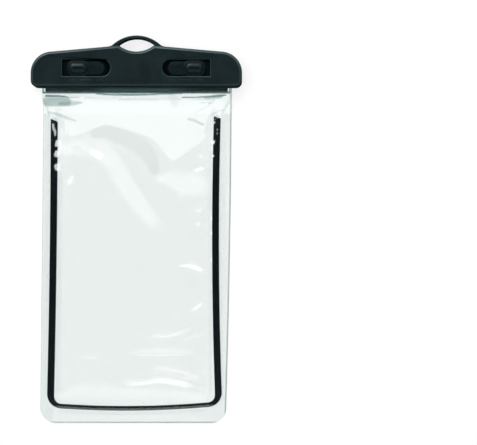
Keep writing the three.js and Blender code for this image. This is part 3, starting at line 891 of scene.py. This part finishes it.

# Marks in the front film: how strong, and a line of points with the mark's half width at each.
# Bright marks are bubbles and creases that catch the light; dark ones are painted shade, a darker tint
# where folds and hollows look dark.
brightMarks = [
    # over and beside the left run of the strip
    (1.5, [(-47.9, -20.7, 0.6), (-47.7, -22.7, 0.7), (-46.8, -24.7, 0.7), (-46.7, -26.6, 0.5)]),
    (2.0, [(-45.8, -30.1, 0.6), (-46.0, -32.5, 0.8)]),
    (2.0, [(-45.9, -36.3, 0.9), (-45.9, -37.8, 1.4)]),
    (2.0, [(-45.7, -44.5, 1.5), (-45.4, -45.6, 1.4)]),
    (0.8, [(-43.8, -30.9, 1.1), (-43.2, -34.0, 1.4), (-43.5, -37.7, 1.4)]),
    (0.8, [(-44.1, -44.3, 1.7), (-42.6, -44.0, 1.4)]),
    (0.5, [(-42.9, -24.4, 0.9), (-42.9, -25.8, 0.9)]),
    # blots below the slope
    (0.75, [(-38.7, -24.4, 1.3), (-37.8, -25.8, 1.5), (-35.3, -25.2, 1.0)]),
    (0.45, [(-33.8, -32.0, 1.0)]),
    (0.65, [(-37.5, -51.4, 1.3), (-38.4, -53.9, 1.4)]),
    (0.85, [(-24.5, -36.6, 1.9), (-21.6, -38.6, 1.9)]),
    (0.8, [(33.7, -46.7, 1.1), (36.9, -45.7, 0.9)]),
    (0.5, [(36.4, -39.1, 1.4)]),
    (0.6, [(34.4, -69.3, 0.9), (35.8, -69.8, 0.7)]),
    (0.5, [(34.7, -77.2, 1.0)]),
    # over and beside the right run
    (2.5, [(43.5, -19.5, 0.7)]),
    (2.2, [(43.5, -30.3, 0.6), (43.2, -31.5, 0.5)]),
    (2.2, [(43.0, -38.6, 0.6)]),
    (0.8, [(45.4, -23.2, 0.3), (45.4, -24.0, 0.3)]),
    (0.8, [(45.4, -25.3, 0.3), (45.4, -26.0, 0.3)]),
    (0.5, [(48.2, -34.6, 0.7), (48.9, -35.5, 0.6)]),
    (0.4, [(48.8, -41.1, 0.6), (48.3, -44.8, 0.7)]),
    # the broad band from the left, and the wide blot at the right
    (0.26, [(-40.7, -35.2, 3.4), (-33.8, -33.5, 4.6), (-25.9, -32.9, 4.8), (-17.9, -36.9, 5.4),
           (-12.8, -44.3, 5.1), (-7.7, -52.8, 4.8), (-1.4, -62.5, 4.6), (4.8, -71.0, 4.6),
           (8.8, -75.8, 3.7)]),
    (0.3, [(12.8, -52.2, 2.3), (19.6, -51.1, 4.0), (27.0, -53.9, 6.8), (34.0, -55.1, 6.0),
            (36.4, -56.2, 4.2)]),
    # streaks at the lower right
    (0.85, [(25.0, -101.0, 0.5), (30.1, -101.0, 1.1), (34.4, -102.5, 1.3), (36.6, -103.7, 0.8)]),
    (0.8, [(29.8, -126.7, 0.3), (34.1, -124.6, 0.9), (36.6, -122.9, 0.7)]),
    (0.55, [(8.8, -140.7, 0.7), (16.7, -140.9, 1.0), (24.1, -139.3, 0.8), (29.3, -137.6, 0.5)]),
    (0.3, [(25.8, -143.4, 0.6), (31.5, -141.5, 0.8), (35.8, -140.2, 0.6)]),
    (0.3, [(-3.7, -150.3, 0.6), (7.1, -149.4, 1.4), (14.5, -149.1, 1.9), (24.1, -150.0, 1.4),
           (33.8, -150.3, 0.7)]),
    (0.35, [(6.8, -160.5, 0.6), (14.5, -159.2, 1.4), (24.1, -160.8, 1.1), (35.5, -165.1, 0.8)]),
    (0.6, [(-6.6, -167.6, 0.6), (3.1, -167.8, 1.0), (10.5, -165.9, 1.1)]),
    (0.9, [(11.6, -165.5, 0.9), (16.2, -166.1, 1.3), (24.1, -167.5, 1.0), (31.5, -169.3, 0.5)]),
    (0.5, [(-32.2, -152.9, 0.6), (-23.9, -152.4, 0.5)]),
    (0.28, [(-40.3, -173.8, 3.4), (-29.9, -172.4, 3.7), (-4.3, -173.6, 3.1), (24.1, -175.0, 2.8),
            (37.9, -175.8, 2.6)]),
    # the welded border's raised rim
    (0.22, [(-52.5, -18, 0.7), (-54.1, -178, 0.7)]),
    (0.25, [(51.9, -18, 0.7), (50.9, -100, 0.7), (48.9, -180, 0.7)]),
    (0.2, [(-46.0, -188.5, 0.7), (42.0, -188.5, 0.7)]),
    # faint creases that run down the pocket's sides
    (0.25, [(-39.9, -12, 0.5), (-41.4, -172, 0.5)]),
    (0.2, [(39.8, -14, 0.45), (39.9, -172, 0.45)]),
]
for dotY in (-27, -31, -35, -74, -82.5, -91, -97.5, -106.5, -112.5):
    brightMarks.append((2, [(42.1, dotY, 0.35)]))
paintedShadeMarks = [
    # painted shade: the bar's lower edge seen through the film's bend, and folds right below the clamp, as
    # a darker tint
    (0.95, [(-52.4, -3.1, 0.5), (52.4, -3.1, 0.5)]),
    (0.75, [(-22.5, -3.8, 0.3), (-14.0, -4.2, 0.4), (-5.0, -4.3, 0.5), (5.2, -4.2, 0.4),
            (15.9, -3.8, 0.3), (25.5, -3.6, 0.2)]),
    (0.5, [(-52.6, -0.6, 0.5), (-52.6, -2.9, 0.5)]),
    (0.5, [(52.6, -0.6, 0.5), (52.6, -2.9, 0.5)]),
    (0.8, [(-51.3, -4.8, 0.5), (-45.1, -4.9, 0.5), (-41.2, -5.2, 0.4), (-38.4, -5.6, 0.2)]),
    (0.8, [(25.5, -5.7, 0.2), (34.5, -5.6, 0.3), (41.3, -5.3, 0.5), (46.4, -4.8, 0.6), (50.3, -4.4, 0.3)]),
    (0.3, [(38.5, -6.2, 0.5), (44.7, -5.9, 0.7), (48.1, -5.5, 0.5)]),
    (0.42, [(-50.9, -8.0, 2.6), (-44.6, -8.0, 2.6), (-39.5, -8.0, 2.4)]),
    (0.28, [(-43.5, -9.4, 0.9), (-37.9, -9.2, 1.3), (-34.5, -8.8, 1.1), (-31.4, -8.6, 0.5)]),
    (0.22, [(-38.9, -5.6, 0.3), (-32.7, -5.8, 0.3)]),
    (0.1, [(-29.4, -6.0, 0.5), (-10.7, -6.4, 0.6), (7.4, -6.6, 0.7), (27.2, -6.4, 0.5),
           (39.0, -6.8, 0.6), (43.5, -7.3, 0.7)]),
    (0.1, [(-9.6, -6.9, 0.3), (-2.2, -6.9, 0.3), (5.1, -6.8, 0.3), (11.9, -6.8, 0.3)]),
    # painted shade of the puckers between the clamp and the strip's ends
    (0.2, [(-50.5, -13.8, 0.6), (-45.4, -14.7, 0.7), (-40.9, -16.6, 0.8), (-35.2, -18.7, 0.5)]),
    (0.06, [(-46.5, -12.1, 0.3), (-42.6, -12.3, 0.4)]),
    (0.2, [(29.3, -17.7, 0.6), (32.7, -18.6, 0.8), (37.2, -20.7, 0.7)]),
    (0.15, [(36.7, -8.5, 0.3), (39.0, -8.6, 0.3)]),
    (0.18, [(40.7, -8.8, 0.5), (43.0, -8.7, 0.3)]),
    (0.06, [(32.8, -14.1, 0.5), (38.4, -11.5, 0.5), (41.3, -9.3, 0.6)]),
    (0.08, [(42.4, -14.9, 0.5), (45.8, -13.2, 0.5), (49.2, -12.6, 0.4)]),
    (0.13, [(-48.1, -16.8, 0.5), (-46.7, -17.3, 0.7), (-45.6, -18.8, 0.5)]),
    (0.1, [(43.5, -16.5, 0.5), (45.8, -15.9, 0.5)]),
    # painted shade in the hollow under the slope and along the pocket's sides
    (0.05, [(-24.1, -26.1, 2.8), (-16.8, -24.7, 4.0), (-7.7, -27.8, 5.1), (1.4, -32.3, 5.1),
            (7.1, -38.6, 4.6), (9.9, -46.5, 2.8)]),
    (0.03, [(-43.8, -48, 1.6), (-45.0, -172, 1.6)]),
    (0.03, [(41.4, -36, 0.9), (41.5, -172, 0.9)]),
    # painted shade on the border beside the strip
    (0.03, [(-50.4, -20, 0.9), (-52.5, -176, 0.9)]),
    (0.035, [(-45.0, -183.7, 0.8), (-20.0, -185.2, 0.8), (15.0, -185.0, 0.8), (39.0, -183.0, 0.8)]),
]


def markField(x, y, marks):
    # how strongly the marks show at each point
    field = np.zeros_like(x)
    for strength, points in marks:
        nearest = np.full_like(x, 1e9)
        for (x0, y0, r0), (x1, y1, r1) in zip(points, points[1:] or points):
            length = max((x1 - x0) ** 2 + (y1 - y0) ** 2, 1e-6)
            t = np.clip(((x - x0) * (x1 - x0) + (y - y0) * (y1 - y0)) / length, 0, 1)
            away = np.hypot(x - x0 - t * (x1 - x0), y - y0 - t * (y1 - y0))
            nearest = np.minimum(nearest, away / (r0 + t * (r1 - r0)))
        field += (strength - field * min(strength, 1)) * (1 - step(nearest, *film["markSoftness"]))
    return field


def frontHeights(x, y, edgeColumn):
    weld = film["backSeat"] * step(y, film["backRise"], film["barFoot"]) + film["weldHeight"]
    foot = -sum(np.interp(x + shift, *zip(*slopeFoot)) for shift in slopeShifts) / len(slopeShifts)
    climb = np.clip((y - foot) / (film["barFoot"] - foot), 0, 1)
    climb = climb - 0.012 * (1 - step(climb, 0, 0.06)) * climb / 0.06
    top = film["overStrip"] + (film["seatHeight"] - film["overStrip"]) * climb
    inside = insideStrip(x, y)
    edgeInset = np.minimum(x - edgeLeft(y), edgeRight(y) - x)
    near = step(y, film["backRise"], film["barFoot"])
    inset = inside * (1 - near) + (edgeInset - 0.1) * near
    width = 1.0 - 0.8 * near
    rise = step(inset, -0.3 - width, -0.3)
    sideInset = np.minimum(x - stripLeft(y), stripRight(y) - x)
    bottomInset = y - stripBottom(x)
    full = step(sideInset, strip["width"] + 0.5, strip["width"] + 6)
    full *= step(bottomInset, strip["bottomWidth"] + 0.5, 60) * step(foot - y, 0, 20)
    # over the bottom run the film falls away towards its outer edge
    shoulder = film["shoulder"] * (1 - np.clip(bottomInset / film["shoulderWidth"], 0, 1))
    ribs = np.where(bottomInset < sideInset, film["bottomRibs"], film["sideRibs"])
    ribs = ribs * np.sin(inside * 2.6) * step(-inside, 1.5, 2.0) * (1 - near)
    height = weld + (top - weld) * rise + film["pillow"] * full + ribs * (1 - rise) - shoulder * rise
    inner = step(inside, strip["width"] + 1, strip["width"] + 3) * step(-y, 6, 12)
    waves = np.sin(x * 0.21 + 1.3 * np.sin(y * 0.07)) * np.sin(y * 0.16 + 0.9 * np.sin(x * 0.09))
    height += inner * (foldHeights(x, y) + film["waves"] * waves)
    return np.where(edgeColumn, weld, height)


def filmGrid(name, columns, rows, acrossPlan, downPlan):
    # a grid whose rows follow the pouch's outline, with round lower corners; the plans say
    # which share of the columns or rows has been used at which share of the way
    deselectAll()
    bpy.ops.mesh.primitive_grid_add(x_subdivisions=columns, y_subdivisions=rows, size=1)
    piece = bpy.context.object
    piece.name = name
    count = len(piece.data.vertices)
    flat = np.zeros(count * 3)
    piece.data.vertices.foreach_get("co", flat)
    flat = flat.reshape(-1, 3)
    across = np.interp(flat[:, 0] + 0.5, *zip(*acrossPlan))
    down = np.interp(0.5 - flat[:, 1], *zip(*downPlan))
    y = film["grip"] - down * (film["grip"] + film["drop"])
    above = y + film["drop"]

    def cornerInset(radius):
        depth = np.clip(radius - above, 0, radius)
        return radius - np.sqrt(np.maximum(radius ** 2 - depth ** 2, 0))

    left = edgeLeft(y) + cornerInset(film["cornerLeft"])
    right = edgeRight(y) - cornerInset(film["cornerRight"])
    x = left + across * (right - left)
    return piece, x, y, (across < 1e-6) | (across > 1 - 1e-6)


def placeGrid(piece, x, y, z, **fields):
    places = np.stack([x * mm, y * mm + clampFoot, z * mm], axis=1)
    piece.data.vertices.foreach_set("co", places.ravel())
    for name, values in fields.items():
        attribute = piece.data.attributes.new(name, "FLOAT", "POINT")
        attribute.data.foreach_set("value", values)
    piece.data.update()
    deselectAll()
    bpy.context.view_layer.objects.active = piece
    modifier = piece.modifiers.new("thickness", "SOLIDIFY")
    modifier.thickness = film["thickness"] * mm
    modifier.offset = 1
    bpy.ops.object.modifier_apply(modifier=modifier.name)
    piece.select_set(True)
    bpy.ops.object.shade_smooth()


rim = {
    "left": (0.06, 0.025),           # painted shade: how dark the cut edge and the weld beside it are
    "right": (0.3, 0.01),
    "bottom": (0.25, 0.005),
    "edgeFade": (0.3, 0.9),
    "weldFade": (6, 9),
}


def paintedRimShade(x, y):
    # painted shade: the cut edge is darker at the right and at the bottom, the sides away from the light,
    # and the weld beside it slightly darker
    distances = {"left": x - edgeLeft(y), "right": edgeRight(y) - x, "bottom": y + film["drop"]}
    depth = np.zeros_like(x)
    outside = 1 - step(insideStrip(x, y), -0.6, 0.2)
    for side, distance in distances.items():
        edge, weld = rim[side]
        depth = np.maximum(depth, edge * (1 - step(distance, *rim["edgeFade"])))
        depth = np.maximum(depth, weld * outside * (1 - step(distance, *rim["weldFade"])))
    return depth


def buildFilms(material, backMaterial):
    plans = (film["acrossPlan"], film["downPlan"])
    piece, x, y, edgeColumn = filmGrid("frontFilm", film["columns"], film["rows"], *plans)
    inside = insideStrip(x, y)
    onStrip = step(-y, 16, 19)
    outline = np.exp(-((inside + 0.45) / 0.3) ** 2) + np.exp(-((inside - strip["width"] - 0.4) / 0.3) ** 2)
    glint = markField(x, y, brightMarks) + 0.2 * outline * onStrip
    # painted shade in the film: the dark marks and the darker rim
    depth = np.maximum(markField(x, y, paintedShadeMarks), paintedRimShade(x, y))
    placeGrid(piece, x, y, frontHeights(x, y, edgeColumn), depth=depth, glint=glint)
    dress(piece, material, "clear_film", "pouch", "front_film")
    back, x, y, edgeColumn = filmGrid("backFilm", 80, 140, *plans)
    height = film["backSeat"] * step(y, film["backRise"], film["barFoot"])
    # the back film gets the same painted rim shade
    placeGrid(back, x, y, height, depth=paintedRimShade(x, y), glint=np.zeros_like(x))
    dress(back, backMaterial, "clear_film", "pouch", "back_film")
    print("films built")


def stripOutline():
    # down the left outside, round the bottom, up the right, and back along the inside
    def line(inset, bottomInset, radius, topLeft, topRight):
        low = -film["drop"] + strip["bottom"] + bottomInset
        bend = low + radius
        legRows = 24
        left = []
        for i in range(legRows):
            y = topLeft + (bend - topLeft) * i / legRows
            left.append((float(stripLeft(y)) + inset, y))
        right = []
        for i in range(legRows):
            y = topRight + (bend - topRight) * i / legRows
            right.append((float(stripRight(y)) - inset, y))
        leftX = float(stripLeft(bend)) + inset
        rightX = float(stripRight(bend)) - inset
        run = arcPoints(leftX + radius, bend - strip["tilt"], radius, 180, 270, 14)
        spread = rightX - leftX - 2 * radius
        for i in range(1, 20):
            share = i / 20
            run.append((leftX + radius + spread * share, low - bottomSag(share)))
        run += arcPoints(rightX - radius, bend + strip["tilt"], radius, 270, 360, 14)
        return [*left, *run, *reversed(right)]

    outer = line(0, 0, strip["radius"], -strip["topLeft"], -strip["topRight"] - 1.2)
    radius = strip["radius"] - strip["width"]
    inner = line(strip["width"], strip["bottomWidth"], radius, -strip["topLeft"] - 1.8, -strip["topRight"])
    return [*outer, *reversed(inner)]


def buildStrip(material):
    piece = plate("edgeStripBlack", stripOutline(), strip["foot"], strip["top"], 0.5, 3)
    smooth(piece, 50)
    dress(piece, material, "strip_plastic", "pouch", "edge_strip")
    print("strip built")


buildStudio()
buildFloor()
# the last number of the clamp and slider finishes is how much painted highlight their upper edges get
clampBlack = blackPlastic("clampPlastic", (0.0125, 0.021, 0.0233), 0.5, 0.35, 1500, 0, 0.5, 0.8)
sliderBlack = blackPlastic("sliderPlastic", (0.0045, 0.0098, 0.0118), 0.34, 0.1, 1500, 0.06, 0.22, 0.14)
barBlack = blackPlastic("barPlastic", (0.0125, 0.027, 0.03), 0.3, 0.1, 900, 0.8, 0)
stripBlack = blackPlastic("stripPlastic", (0.001, 0.003, 0.004), 0.3, 0.1, 700, 0.12, 0)
sealRubber = blackPlastic("sealRubber", (0.02, 0.021, 0.022), 0.75, 0.2, 900, 0.3, 0)
clearFilm = clearFilmFinish("clearFilm", filmLook["gloss"])
backFilm = clearFilmFinish("backFilm", filmLook["backGloss"])
buildFrontCover(clampBlack)
buildBackCover(clampBlack)
buildSlider(-1, "leftSlider", "left_lock", "left_lock_slider", sliderBlack)
buildSlider(1, "rightSlider", "right_lock", "right_lock_slider", sliderBlack)
buildBars(barBlack, sealRubber)
buildStrip(stripBlack)
buildFilms(clearFilm, backFilm)
